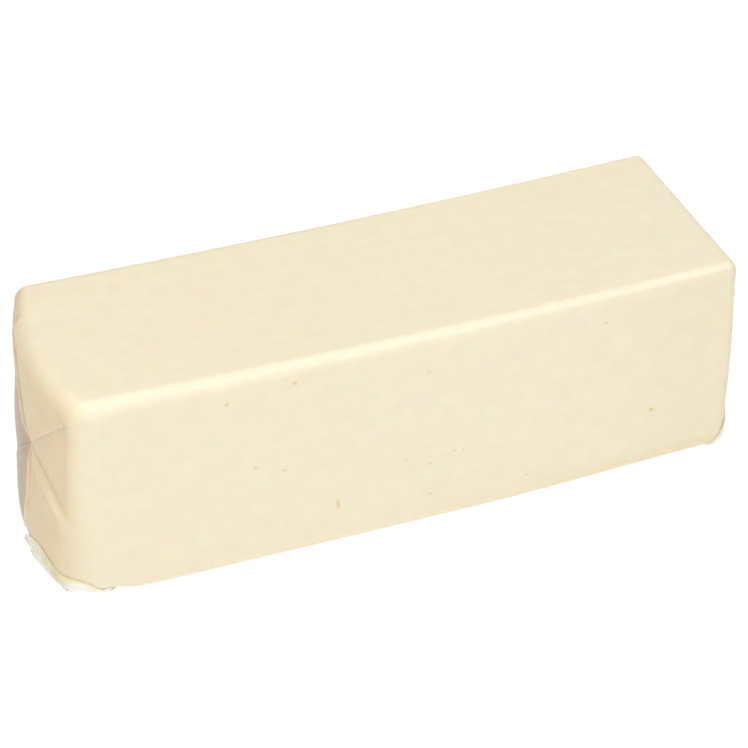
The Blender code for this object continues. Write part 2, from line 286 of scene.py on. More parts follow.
def end_relief(hub, folds, rolls, y, z):
    """An end's relief at places y across and z above its middle, with how much painted shade a
    crease puts there and how much painted highlight the edge of a layer puts there."""
    hub_y, hub_z = np.array(hub) * MM
    out = np.hypot(y - hub_y, z - hub_z)
    here = np.arctan2(z - hub_z, y - hub_y) % (2 * pi)
    turns = []
    relief = -HUB_DEPTH * np.exp(-((out / HUB_SPREAD) ** 2))
    crease, shine = np.exp(-((out / HUB_CREASE) ** 2)), np.zeros(y.shape)
    for name, fold in folds.items():
        path = fold_path(hub, fold)
        along, beside, run = beside_path(path, y, z)
        beside = beside * fold["over"]
        strength = ramp(along, 0, fold.get("start", FOLD_START) * MM)
        strength = strength * (1 - ramp(along, run - FOLD_FADE, run + FOLD_FADE))
        step = np.interp(along / MM, *zip(*fold.get("pocket", ((0, FOLD_EDGE / MM),)))) * MM
        past = np.maximum(0, beside - step)
        upper = fold["lift"] * MM * ramp(beside / step, 0, 1) * np.exp(-past / (fold["reach"] * MM))
        lower = -fold["groove"] * MM * np.exp(beside / GROOVE_WIDTH)
        relief += strength * np.where(beside >= 0, upper, lower)
        line = np.exp(-(((beside + CREASE_SET_BACK) / CREASE_WIDTH) ** 2))
        crease = np.maximum(crease, strength * line)
        bright = fold.get("shine", 0) * np.exp(-(((beside - step) / SHINE_WIDTH) ** 2))
        shine = np.maximum(shine, strength * bright)
        if name != "seam":
            turns.append(np.arctan2(path[-1][1] - hub_z, path[-1][0] - hub_y) % (2 * pi))
    turns = np.array(sorted(turns))
    after = np.searchsorted(turns, here) % len(turns)
    low = turns[after - 1]
    span = (turns[after] - low) % (2 * pi)
    swell = np.sin(pi * ((here - low) % (2 * pi)) / span) ** 2
    rim = np.maximum(np.abs(y) / HALF_WIDTH, np.abs(z) / HALF_HEIGHT)
    relief += PANEL_CROWN * np.minimum(1, out / CROWN_START) * swell * (1 - ramp(rim, CROWN_FADE, 1))
    if hub is SHOWN_HUB:
        ear_edge = np.interp(z / MM, (hub[1], EAR_TOP[1]), (hub[0], EAR_TOP[0])) * MM
        above = ramp(z, hub_z - EAR_RUN / 2, hub_z + EAR_RUN / 2)
        relief -= EAR_SLOPE * np.clip(y - ear_edge, 0, EAR_RUN) * above
    for roll in rolls:
        along, beside, run = beside_path(through(np.array(roll["path"]) * MM, PATH_STEPS), y, z)
        strength = ramp(along, 0, ROLL_FADE) * (1 - ramp(along, run - ROLL_FADE, run))
        relief += roll["rise"] * MM * strength * np.exp(-((beside / (roll["width"] * MM)) ** 2))
    return relief, crease, shine


# The shown end's foot draws in under the collar of film, and its top front corner droops.
END_TUCK, TUCK_HEIGHT, TUCK_RUN = 0.8 * MM, 14 * MM, 16 * MM
CORNER_DROOP, DROOP_RUN = 1.5 * MM, 13 * MM

# On the two long upright faces the film pulls faint upright lines near the ends, and the top corner
# of the shown end is pinched up a little. Each line: its x, its height and its width, in mm.
TENSION_LINES = (
    (-120.5, 0.16, 1.5),
    (-116.3, 0.11, 1.1),
    (-112.0, 0.06, 1.3),
    (122.5, 0.12, 0.9),
    (126.0, 0.14, 0.8),
)
LINES_LOW, LINES_HIGH = 14 * MM, 76 * MM
PINCH_PLACE, PINCH_RISE, PINCH_SPREAD = (-123.2, 40.2), 0.35, 1.6  # its x and height over the middle


def side_relief(x, y, z):
    """The relief of the upright faces, at places x along and z above the table."""
    over = ramp(z, 0, LINES_LOW) * (1 - ramp(z, LINES_HIGH, HEIGHT))
    relief = sum(h * MM * np.exp(-(((x / MM - at) / w) ** 2)) for at, h, w in TENSION_LINES) * over
    gap = np.hypot(x / MM - PINCH_PLACE[0], (z - HALF_HEIGHT) / MM - PINCH_PLACE[1])
    return relief + np.where(y < 0, PINCH_RISE * MM, 0) * np.exp(-((gap / PINCH_SPREAD) ** 2))


def loaf_points(sx, sy, sz):
    """Points of the wrapped loaf, with their crease and shine values."""
    (x, y, z), away = block_points(sx, sy, sz)
    z = z + HALF_HEIGHT
    # The long faces are hollow between their edges.
    hollow = 1 - (x / HALF_LENGTH) ** 2
    z = z - TOP_DISH * np.maximum(0, away[2]) ** 2 * hollow * (1 - (y / HALF_WIDTH) ** 2)
    y = y - SIDE_DISH * away[1] * np.abs(away[1]) * hollow * (1 - (z / HALF_HEIGHT - 1) ** 2)
    y = y + away[1] * side_relief(x, y, z)
    # The two ends lean out and carry their folds.
    shown = x < 0
    follow = ramp(np.abs(x), HALF_LENGTH - END_RUN, HALF_LENGTH)
    reach = follow * np.where(shown, end_reach(SHOWN_END, y, z), end_reach(FAR_END, y, z))
    ends = ((SHOWN_HUB, SHOWN_FOLDS, SHOWN_ROLLS), (FAR_HUB, FAR_FOLDS, FAR_ROLLS))
    here, there = [end_relief(*end, y, z - HALF_HEIGHT) for end in ends]
    relief, crease, shine = [np.where(shown, a, b) * away[0] ** 2 * follow for a, b in zip(here, there)]
    bend = mix(BASE_BEND, TOP_BEND, z / HEIGHT) * (x / HALF_LENGTH) ** 2 - FLAT_REST
    x = x + np.where(shown, -1, 1) * (reach + relief)
    # The foot is tucked in, the top corner droops, and both ends bend up.
    tucked = np.clip(1 - z / TUCK_HEIGHT, 0, 1) ** 2
    x = x + END_TUCK * tucked * ramp(-x, HALF_LENGTH - TUCK_RUN, HALF_LENGTH)
    droop = ramp(-x, HALF_LENGTH - DROOP_RUN, HALF_LENGTH) * ramp(-y, HALF_WIDTH - DROOP_RUN, HALF_WIDTH)
    z = z - CORNER_DROOP * droop * ramp(z, HALF_HEIGHT, HEIGHT)
    points = np.stack([MIDDLE_X + x, y, np.maximum(0, z + bend)], -1)
    return points, crease, shine


# The mesh runs in rings round the loaf, and in rings over each end that close to its hub. Its
# spokes follow the folds, and crowd beside them.
FLAT_STEPS, ARC_STEPS = 46, 7
LENGTH_STEPS = 98
SHOWN_RINGS, FAR_RINGS = 76, 44
# How far beside a fold the crowded spokes run, in mm.
SHOWN_BESIDE = (-3, -2.1, -1.4, -0.9, -0.55, -0.3, -0.12, 0)
SHOWN_BESIDE += (0.13, 0.26, 0.4, 0.55, 0.7, 0.9, 1.2, 1.6, 2.3, 3)
FAR_BESIDE = (-2, -1.2, -0.6, -0.25, 0, 0.3, 0.7, 1.2, 2)
HALF_FLAT = HALF_WIDTH - SHOWN_EDGE
SPOKE_ROOM = 0.01  # an even spoke this near to a fold's own spokes is left out


def station(p):
    """A place round the loaf's outline, as its two s values. Each side takes 4 of p's 16."""
    side, s = int(p // 4) % 4, p % 4 - 2
    return ((s, -2.0), (2.0, s), (-s, 2.0), (-2.0, -s))[side]


def round_of(to):
    """The p of a place round the outline that is given in halves of the flat."""
    sy, sz = 2 * to[0], 2 * to[1]
    if sz == -2:
        return sy + 2
    if sy == 2:
        return 4 + sz + 2
    if sz == 2:
        return 8 + 2 - sy
    return (12 + 2 - sz) % 16


arc = [(i + 1) / ARC_STEPS for i in range(ARC_STEPS)]
flat = [1 + 2 * i / FLAT_STEPS for i in range(FLAT_STEPS + 1)]
one_side = [0.0] + arc[:-1] + flat + [3 + a for a in arc[:-1]]
round_spots = [4 * i + s for i in range(4) for s in one_side]
for folds, places in ((FAR_FOLDS, FAR_BESIDE), (SHOWN_FOLDS, SHOWN_BESIDE)):
    for fold in folds.values():
        here = [round_of(fold["to"]) + fold["over"] * b * MM / HALF_FLAT for b in places]
        first, last = min(here) - SPOKE_ROOM, max(here) + SPOKE_ROOM
        round_spots = [q for q in round_spots if q < first or q > last]
        round_spots += here
round_spots = sorted(p % 16 for p in round_spots)
outline = np.array([station(p) for p in round_spots])

length_arc = [1 + a for a in arc]
length_flat = [np.sin(pi / 2 * (2 * i / LENGTH_STEPS - 1)) for i in range(LENGTH_STEPS + 1)]
length_spots = [-s for s in reversed(length_arc)] + length_flat + length_arc
rings = [(np.full(len(outline), s), outline[:, 0], outline[:, 1]) for s in length_spots]


def bent_spokes(hub, folds, share):
    """Where the spokes of an end cross one of its rings: straight from the hub to the rim, and
    carried sideways with the folds on either side."""
    hub_s = np.array(hub) * MM / np.array([HALF_WIDTH - FAR_EDGE, HALF_HEIGHT - FAR_EDGE])
    straight = hub_s + (outline / 2 - hub_s) * share
    marks = []
    for fold in folds.values():
        path = fold_path(hub, fold) / np.array([HALF_WIDTH - FAR_EDGE, HALF_HEIGHT - FAR_EDGE])
        lengths = np.concatenate([[0], np.cumsum(np.hypot(*np.diff(path, axis=0).T))])
        on_path = [np.interp(share * lengths[-1], lengths, path[:, k]) for k in (0, 1)]
        aim = hub_s + (np.array(fold["to"]) - hub_s) * share
        marks.append((round_of(fold["to"]), np.array(on_path) - aim))
    marks.sort(key=lambda m: m[0])
    first, last = marks[0], marks[-1]
    marks = [(last[0] - 16, last[1])] + marks + [(first[0] + 16, first[1])]
    at = [m[0] for m in marks]
    shift = np.stack([np.interp(round_spots, at, [m[1][k] for m in marks]) for k in (0, 1)], -1)
    return straight + shift


ends = ((-1, SHOWN_HUB, SHOWN_FOLDS, SHOWN_RINGS), (1, FAR_HUB, FAR_FOLDS, FAR_RINGS))
for side, hub, folds, steps in ends:
    cap = []
    for i in range(2 * ARC_STEPS):
        share = 1 - (i + 1) / (4 * ARC_STEPS)
        cap.append(share * outline)
    for i in range(steps - 1):
        cap.append(bent_spokes(hub, folds, 1 - (i + 1) / steps))
    cap = [(np.full(len(outline), 2.0 * side), c[:, 0], c[:, 1]) for c in cap]
    rings = cap[::-1] + rings if side < 0 else rings + cap

count = len(outline)
grid = [np.concatenate([r[k] for r in rings]) for k in (0, 1, 2)]
for side, hub in ((-2.0, SHOWN_HUB), (2.0, FAR_HUB)):
    hub_s = np.array(hub) * MM / np.array([HALF_WIDTH - FAR_EDGE, HALF_HEIGHT - FAR_EDGE])
    grid = [np.append(g, v) for g, v in zip(grid, (side, hub_s[0], hub_s[1]))]
skin, crease, shine = loaf_points(*grid)

turn = np.arange(count)
following = (turn + 1) % count
quads = []
for r in range(len(rings) - 1):
    a, b = r * count, (r + 1) * count
    quads.append(np.stack([a + turn, a + following, b + following, b + turn], -1))
faces = np.concatenate(quads).tolist()
shown_tip, far_tip = len(skin) - 2, len(skin) - 1
last_ring = (len(rings) - 1) * count
faces += [(int(i), shown_tip, int(j)) for i, j in zip(turn, following)]
faces += [(last_ring + int(i), last_ring + int(j), far_tip) for i, j in zip(turn, following)]


def new_piece(name, points, faces, marks):
    """A smooth mesh object with some named values at its points."""
    mesh = bpy.data.meshes.new(name)
    mesh.from_pydata(points.tolist(), [], faces)
    for mark, values in marks.items():
        layer = mesh.attributes.new(mark, "FLOAT", "POINT")
        layer.data.foreach_set("value", np.asarray(values, np.float32))
    mesh.shade_smooth()
    piece = bpy.data.objects.new(name, mesh)
    bpy.context.scene.collection.objects.link(piece)
    return piece


FILM_GAP = 0.12 * MM  # how far the film's outside stands over the cheese
film = new_piece("film_wrap", skin, faces, {"shine": shine})
outward = np.zeros(len(skin) * 3, np.float32)
film.data.vertex_normals.foreach_get("vector", outward)
outward = outward.reshape(-1, 3)
# Past this line the back of the shown end, which turns away from the light, gets painted
# shade: the height over the end's middle and the place across, in mm.
TURN_UP = ((-40, 3.5), (-28.5, -3.5), (-17, -7.5), (-5, -8), (4.6, -4.9), (38.5, 20.5))
TURN_SOFT = 2.2  # mm
turn_y = np.interp(skin[:, 2] / MM - HALF_HEIGHT / MM, *zip(*TURN_UP))
behind = ramp(skin[:, 1] / MM, turn_y, turn_y + TURN_SOFT) * (skin[:, 0] < 0)
# Painted shade on the rounding under the far half, which is wider, and on the upright faces
# there, most of all up to a small height over the table.
UNDER_SPREAD, FAR_DEEP = 0.5, 0.36
LOW_DEEP, LOW_HEIGHT = 1.1, 13 * MM
rising, falling = np.clip(outward[:, 2], 0, 1), np.clip(-outward[:, 2], 0, 1)
under = falling ** mix(1, UNDER_SPREAD, ramp(skin[:, 0], 0, HALF_LENGTH))
under += FAR_DEEP * ramp(skin[:, 0], HALF_LENGTH / 2, HALF_LENGTH) * (1 - rising) * (1 - falling)
under += LOW_DEEP * ramp(skin[:, 0], 0, HALF_LENGTH) * ramp(-skin[:, 2], -LOW_HEIGHT, 0)
marks = {
    "crease": crease,
    "endwise": outward[:, 0] ** 4,
    "turned": behind * outward[:, 0] ** 2,
    "under": under,
    "pit": np.zeros(len(skin)),
}
cheese = new_piece("cheese", skin - FILM_GAP * outward, faces, marks)

# Small bubbles left dents in the cheese, which show under the film as yellow dots, with one slit.
# Each: x and z on the front face, half its length and height, and its depth, in mm.
FRONT_PITS = (
    (-70.2, 74.9, 0.8, 0.7, 0.5),
    (-44.5, 77.4, 0.8, 0.7, 0.5),
    (-29.8, 18.2, 0.55, 2.2, 0.7),
    (6.8, 27.1, 0.6, 0.5, 0.4),
    (16.5, 30.5, 0.55, 0.5, 0.4),
    (20.5, 29.9, 0.5, 0.5, 0.35),
    (6.8, 12.8, 0.5, 0.5, 0.35),
    (97.9, 27.8, 1.0, 0.8, 0.6),
    (77.7, 73.3, 0.6, 0.5, 0.35),
    (-60.9, 43.6, 0.6, 0.6, 0.35),
    (-49.9, 39.6, 0.6, 0.5, 0.35),
    (46.6, 10.8, 0.45, 0.4, 0.5),
    (-2.6, 31.1, 0.5, 0.5, 0.3),
    (7.1, 69.3, 0.5, 0.5, 0.3),
)
PIT_CUTS, PIT_MARGIN = 6, (2.3, 1.2)  # mm along X and Z
PIT_EDGE, PIT_TINT = 1.2, 1.1  # how steep a dent's side is, and how full its colour
UPRIGHT = 0.9  # a face this square to Y, or a point this near to the side, is on an upright face
BACK_PIT_COUNT, BACK_PIT_DEPTH = 12, 0.4
BACK_PIT_RANGES = ((-110, 110), (12, 76), (0.45, 0.8), (0.4, 0.7))
PIT_DRAW = np.random.default_rng(11)
BACK_PITS = [
    [*(PIT_DRAW.uniform(*span) for span in BACK_PIT_RANGES), BACK_PIT_DEPTH]
    for _ in range(BACK_PIT_COUNT)
]


def press_pits(piece, pits, side):
    """Cuts the mesh finely round the dents of an upright face, presses them in and marks them."""
    shape = bmesh.new()
    shape.from_mesh(piece.data)
    mark = shape.verts.layers.float["pit"]
    x, z, half_x, half_z, depth = np.array(pits).T
    near = set()
    for face in shape.faces:
        spot = face.calc_center_median() / MM
        if side * face.normal.y < UPRIGHT or side * spot.y < 0:
            continue
        beside = (abs(spot.x - x) < half_x + PIT_MARGIN[0]) & (abs(spot.z - z) < half_z + PIT_MARGIN[1])
        if np.any(beside):
            near.update(face.edges)
    bmesh.ops.subdivide_edges(shape, edges=list(near), cuts=PIT_CUTS, use_grid_fill=True)
    for vert in shape.verts:
        if side * vert.co.y < UPRIGHT * HALF_WIDTH:
            continue
        off = ((vert.co.x / MM - x) / half_x) ** 2 + ((vert.co.z / MM - z) / half_z) ** 2
        k = off.argmin()
        sunk = np.exp(-PIT_EDGE * off[k])
        vert.co.y -= side * depth[k] * MM * sunk
        vert[mark] = min(1, PIT_TINT * sunk)
    shape.to_mesh(piece.data)
    shape.free()


press_pits(cheese, FRONT_PITS, -1)
press_pits(cheese, BACK_PITS, 1)

CREAM = (0.935, 0.85, 0.645)
DEEP_CREAM = (0.90, 0.79, 0.555)
# the ends' deeper, warmer colour: partly the folded film over them, partly painted warm shade
END_CREAM_AND_SHADE = (0.96, 0.76, 0.48)
BACK_END_SHADE = (0.62, 0.49, 0.335)  # painted shade on the back of the shown end, which turns away from the light
# painted shade under the far half
UNDER_SHADE = (0.83, 0.695, 0.44)
# painted shade in the creases
CREASE_SHADE = (0.72, 0.50, 0.27)
PIT_YELLOW = (0.86, 0.66, 0.30)


def new_finish(name):
    """A material with its Principled shader, and a maker of further nodes for it."""
    finish = bpy.data.materials.new(name)
    finish.use_nodes = True
    tree = finish.node_tree

    def add(kind, settings=None, **inputs):
        node = tree.nodes.new("ShaderNode" + kind)
        for key, value in (settings or {}).items():
            setattr(node, key, value)
        for key, value in inputs.items():
            socket = node.inputs[key.replace("_", " ")]
            if isinstance(value, bpy.types.NodeSocket):
                tree.links.new(value, socket)
            else:
                socket.default_value = value
        return node

    return finish, tree, add


def between(add, share, low, high):
    """A colour between two, by share."""
    node = add("Mix", {"data_type": "RGBA"})
    tree = node.id_data
    tree.links.new(share, node.inputs["Factor"])
    for socket, value in ((node.inputs[6], low), (node.inputs[7], high)):
        if isinstance(value, bpy.types.NodeSocket):
            tree.links.new(value, socket)
        else:
            socket.default_value = (*value, 1)
    return node.outputs[2]


def sum_of(add, *parts, start=0.0):
    """Values times weights, added up."""
    total = None
    for value, weight in parts:
        node = add("Math", {"operation": "MULTIPLY_ADD"})
        node.id_data.links.new(value, node.inputs[0])
        node.inputs[1].default_value = weight
        if total is None:
            node.inputs[2].default_value = start
        else:
            node.id_data.links.new(total, node.inputs[2])
        total = node.outputs[0]
    return total


cheese_finish, tree, add = new_finish("white_process_cheese")
here = add("TexCoord").outputs["Object"]
along = add("Mapping", Vector=here, Scale=(14, 260, 260)).outputs["Vector"]
streaks = add("TexNoise", Vector=along, Scale=1.0, Detail=4.0, Roughness=0.6).outputs["Fac"]
clouds = add("TexNoise", Vector=here, Scale=45.0, Detail=3.0, Roughness=0.5).outputs["Fac"]
grain = add("TexNoise", Vector=here, Scale=700.0, Detail=2.0).outputs["Fac"]
mottle = sum_of(add, (streaks, 0.55), (clouds, 0.35), (grain, 0.1))
fold_depth = add("Attribute", {"attribute_name": "crease"}).outputs["Fac"]
endwise = add("Attribute", {"attribute_name": "endwise"}).outputs["Fac"]
pitted = add("Attribute", {"attribute_name": "pit"}).outputs["Fac"]
# the ends take the deeper colour, partly painted warm shade
body_colour = between(add, sum_of(add, (endwise, 0.8)), between(add, mottle, CREAM, DEEP_CREAM), END_CREAM_AND_SHADE)
turned = add("Attribute", {"attribute_name": "turned"}).outputs["Fac"]
under = add("Attribute", {"attribute_name": "under"}).outputs["Fac"]
# painted shade on the back of the shown end
body_colour = between(add, turned, body_colour, BACK_END_SHADE)
# painted shade under the far half and low on its upright faces
body_colour = between(add, sum_of(add, (under, 0.6)), body_colour, UNDER_SHADE)
# painted shade in the creases and round the hub
folded_colour = between(add, sum_of(add, (fold_depth, 0.14)), body_colour, CREASE_SHADE)
surface = tree.nodes["Principled BSDF"]
tree.links.new(between(add, pitted, folded_colour, PIT_YELLOW), surface.inputs["Base Color"])
relief = sum_of(add, (streaks, 0.5), (grain, 0.25), (clouds, 0.5))
bump = add("Bump", Strength=0.25, Distance=0.2 * MM, Height=relief)
tree.links.new(bump.outputs["Normal"], surface.inputs["Normal"])
surface.inputs["Roughness"].default_value = 0.42
surface.inputs["Subsurface Weight"].default_value = 0.5
surface.inputs["Subsurface Radius"].default_value = (1.0, 0.5, 0.22)
surface.inputs["Subsurface Scale"].default_value = 2.4 * MM
surface.inputs["Specular IOR Level"].default_value = 0.2
surface.inputs["Coat Roughness"].default_value = 0.24
gloss = add("MapRange", Value=endwise, To_Min=0.5, To_Max=0.04)
tree.links.new(gloss.outputs["Result"], surface.inputs["Coat Weight"])
cheese.data.materials.append(cheese_finish)
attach(cheese, "root")
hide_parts("cheese_loaf")


# The film
# A sleeve of thin clear film, sealed skin-tight round the hot cheese. Its ends are folded like an
# envelope: a flap from the top, an ear from each side and a panel from below, over the others.

film_finish, tree, add = new_finish("clear_wrapping_film")
edge_glint = add("Attribute", {"attribute_name": "shine"}).outputs["Fac"]
here = add("TexCoord").outputs["Object"]
haze = add("TexNoise", Vector=here, Scale=120.0, Detail=3.0).outputs["Fac"]
# Along the edge of a layer the film is whiter and less clear: partly the folded film, partly a painted
# highlight.
cloudy = sum_of(add, (haze, 0.07), (edge_glint, 0.5))
surface = tree.nodes["Principled BSDF"]
FILM_WHITE = (0.96, 0.92, 0.80)
FILM_EDGE_GLINT = (0.98, 0.95, 0.86)
tree.links.new(between(add, edge_glint, FILM_WHITE, FILM_EDGE_GLINT), surface.inputs["Base Color"])
surface.inputs["Roughness"].default_value = 0.25
clear = add("BsdfTransparent")
layer = add("MixShader", Fac=cloudy)
tree.links.new(clear.outputs[0], layer.inputs[1])
tree.links.new(surface.outputs[0], layer.inputs[2])
tree.links.new(layer.outputs[0], tree.nodes["Material Output"].inputs["Surface"])
film.data.materials.append(film_finish)
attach(film, "root")
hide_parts("cheese_loaf")


# The tails of film
# Under each end the spare film is gathered flat, and its sealed edge turns up round the foot of the
# end: a short, crinkled collar of clear layers that leans on the cheese, with one loose tip.

COLLAR_STEPS, COLLAR_ROWS = 260, 36
COLLAR_THICKNESS, COLLAR_HEM = 0.14 * MM, 0.05 * MM  # over most of it, and at its upper edge
COLLAR_GAP, HEM_GAP = 0.04 * MM, 0.02 * MM  # its least distance from the film behind it
COLLAR_ENDING, COLLAR_DIP = 0.07, 0.9 * MM  # at the front it dives in over this share of its length
# In mm: where its outside meets the table, from the back to the front, and its upper edge.
SHOWN_FOOT = (
    (-140.6, 1.7),
    (-140.4, -2.0),
    (-139.9, -4.1),
    (-140.2, -6.6),
    (-140.2, -10.1),
    (-139.3, -13.4),
    (-138.3, -18.5),
    (-136.8, -24.8),
    (-135.0, -29.9),
    (-134.3, -32.9),
    (-133.2, -34.9),
    (-130.7, -36.6),
    (-128.0, -37.9),
    (-125.0, -39.2),
    (-121.8, -40.3),
    (-118.8, -40.8),
    (-115.8, -39.6),
)
SHOWN_TOP = (
    (-139.0, 3.5, 1.0),
    (-140.1, -3.0, 5.2),
    (-140.0, -9.8, 9.0),
    (-139.7, -15.7, 11.6),
    (-139.0, -22.0, 13.3),
    (-138.2, -27.2, 12.7),
    (-137.3, -32.4, 12.2),
    (-134.5, -38.6, 10.2),
    (-130.5, -42.5, 10.0),
    (-126.0, -44.4, 7.8),
    (-121.2, -44.8, 4.2),
    (-115.2, -43.8, 1.6),
)
FAR_FOOT_LINE = (
    (136.1, 1.7),
    (135.9, -2.0),
    (135.5, -6.3),
    (135.7, -10.0),
    (135.0, -14.0),
    (134.4, -18.5),
    (133.6, -24.8),
    (132.8, -29.9),
    (131.6, -35.0),
    (129.8, -38.6),
    (127.0, -40.4),
    (122.0, -40.4),
)
FAR_TOP = (
    (134.5, 3.5, 1.0),
    (135.6, -3.0, 4.2),
    (135.5, -9.8, 7.0),
    (135.2, -15.7, 8.6),
    (134.8, -22.0, 9.3),
    (134.2, -27.2, 9.7),
    (133.4, -32.4, 10.6),
    (132.2, -38.6, 12.0),
    (130.2, -43.0, 12.8),
    (127.3, -44.8, 8.5),
    (122.0, -42.0, 0.6),
)
RIM_ANGLE = radians(50)
CRINKLE = 0.10 * MM
COLLAR_STAND = 0.10 * MM  # how far its middle stands off
FIN_STAND = 0.20 * MM  # the same where the loose tip is, between these shares of its length
FIN_START, FIN_PEAK, FIN_END = 0.60, 0.76, 0.97
# The crinkles are a few waves that are drawn by lot: how many, how many eighths of a wave lie along
# the collar, and how far each turns up its height.
WAVE_COUNT, WAVES_ALONG, WAVES_UP = 10, (8, 55), (-5, 5)
CURVE_STEPS = 400  # of the lines that its foot and its upper edge follow
SPECKS, SPECK_RADIUS = ((-134.4, -32.6, 0.5), (-133.2, -34.8, 0.4)), 0.55  # two dark specks, in mm


def along_curve(points, t):
    """Places at shares t of a smooth curve through some points, evenly along its length."""
    curve = through(np.array(points) * MM, CURVE_STEPS)
    lengths = np.concatenate([[0], np.cumsum(np.linalg.norm(np.diff(curve, axis=0), axis=1))])
    return np.stack([np.interp(t * lengths[-1], lengths, line) for line in curve.T], -1)


def make_collar(name, foot, top, seed):
    """The turned-up edge of the film, from the table up to a line on the cheese."""
    t = np.linspace(0, 1, COLLAR_STEPS + 1)
    low, high = along_curve(foot, t), along_curve(top, t)
    low = np.concatenate([low, np.zeros((len(t), 1))], -1)
    fin = ramp(t, FIN_START, FIN_PEAK) * (1 - ramp(t, FIN_PEAK, FIN_END))
    whole = 1 - ramp(t, 1 - COLLAR_ENDING, 1)
    wrapped = BVHTree.FromObject(film, bpy.context.evaluated_depsgraph_get())
    draw = np.random.default_rng(seed)
    ranges = (WAVES_ALONG, WAVES_UP, (0, 2 * pi))
    waves = [[draw.uniform(*span) for span in ranges] for _ in range(WAVE_COUNT)]
    rows = []
    for j in range(COLLAR_ROWS + 1):
        s = j / COLLAR_ROWS
        row = mix(low, high, s)
        crinkle = sum(np.sin(2 * pi * a * t / 8 + b * s + c) / a**0.5 for a, b, c in waves)
        stand = mix(COLLAR_STAND, FIN_STAND, fin) * np.sin(pi * min(1, s / 0.9))
        stand = np.maximum(0, stand + CRINKLE * crinkle * np.sin(pi * min(1, s + 0.1))) * whole
        for i, place in enumerate(row):
            spot, away, _, _ = wrapped.find_nearest(Vector(place))
            clear = (Vector(place) - spot).dot(away)
            need = mix(COLLAR_GAP, HEM_GAP, s) + COLLAR_THICKNESS * (1 - s**4) + stand[i] * (1 - s**3)
            need = mix(-COLLAR_DIP, need, whole[i])
            share = 1 if clear < need else 1 - whole[i]
            place = place + float(share * (need - clear)) * np.array(away)
            row[i] = place
        row[:, 2] = np.maximum(row[:, 2], 0.0)
        rows.append(row)
    outer = np.stack(rows, 1)
    across = np.gradient(outer, axis=0)
    upward = np.gradient(outer, axis=1)
    facing = np.cross(across, upward)
    facing /= np.linalg.norm(facing, axis=-1, keepdims=True) + 1e-12
    if facing[len(t) // 2, COLLAR_ROWS // 2, 0] * foot[0][0] < 0:
        facing = -facing
    up = np.linspace(0, 1, COLLAR_ROWS + 1)
    thick = mix(COLLAR_THICKNESS, COLLAR_HEM, up**4)[None, :, None] * mix(0.1, 1, whole)[:, None, None]
    inner = outer - thick * facing
    inner[..., 2] = np.maximum(inner[..., 2], 0.0)
    spot = np.arange(inner[..., 0].size).reshape(inner.shape[:2])
    sheet = np.stack([spot[:-1, :-1], spot[:-1, 1:], spot[1:, 1:], spot[1:, :-1]], -1).reshape(-1, 4)
    rim = np.concatenate([spot[:, 0], spot[-1, 1:], spot[-2::-1, -1], spot[0, -2:0:-1]])
    after = np.roll(rim, -1)
    wall = np.stack([rim, after, after + spot.size, rim + spot.size], -1)
    faces = np.concatenate([sheet, sheet[:, ::-1] + spot.size, wall]).tolist()
    points = np.concatenate([inner.reshape(-1, 3), outer.reshape(-1, 3)])
    speck = np.zeros(len(points))
    for spot in SPECKS:
        gap = np.linalg.norm(points - np.array(spot) * MM, axis=1) / (SPECK_RADIUS * MM)
        speck = np.maximum(speck, np.exp(-(gap**2)))
    marks = {"up": np.tile(up, 2 * len(t)), "fin": np.tile(np.repeat(fin, len(up)), 2), "speck": speck}
    collar = new_piece(name, points, faces, marks)
    shape = bmesh.new()
    shape.from_mesh(collar.data)
    bmesh.ops.recalc_face_normals(shape, faces=shape.faces)
    shape.to_mesh(collar.data)
    shape.free()
    collar.data.set_sharp_from_angle(angle=RIM_ANGLE)
    return collar


tail_finish, tree, add = new_finish("gathered_film")
here = add("TexCoord").outputs["Object"]
up = add("Attribute", {"attribute_name": "up"}).outputs["Fac"]
fin = add("Attribute", {"attribute_name": "fin"}).outputs["Fac"]
cloud = add("TexNoise", Vector=here, Scale=180.0, Detail=4.0).outputs["Fac"]
creased = add("TexNoise", Vector=here, Scale=420.0, Detail=3.0).outputs["Fac"]
SPECK_GREY = (0.20, 0.20, 0.18)
TAIL_STOPS = (
    (0.0, (0.94, 0.90, 0.84)),
    (0.2, (1.0, 0.925, 0.74)),
    (0.42, (1.0, 0.95, 0.59)),
    (0.8, (1.0, 0.945, 0.56)),
    (0.97, (0.99, 0.89, 0.50)),
)  # the colour of the crinkled part, from the table up to the cheese
FIN_STOPS = (
    (0.0, (0.88, 0.89, 0.85)),
    (0.15, (0.99, 0.97, 0.95)),
    (0.5, (1.0, 0.965, 1.0)),
    (0.85, (1.0, 0.97, 0.84)),
    (0.95, (0.95, 0.87, 0.45)),
)


def by_height(add, share, stops):
    """A colour that changes with height through some stops."""
    node = add("ValToRGB", Fac=share)
    for place, colour in stops[1:-1]:
        node.color_ramp.elements.new(place)
    for stop, (place, colour) in zip(node.color_ramp.elements, stops):
        stop.position = place
        stop.color = (*colour, 1)
    return node.outputs["Color"]


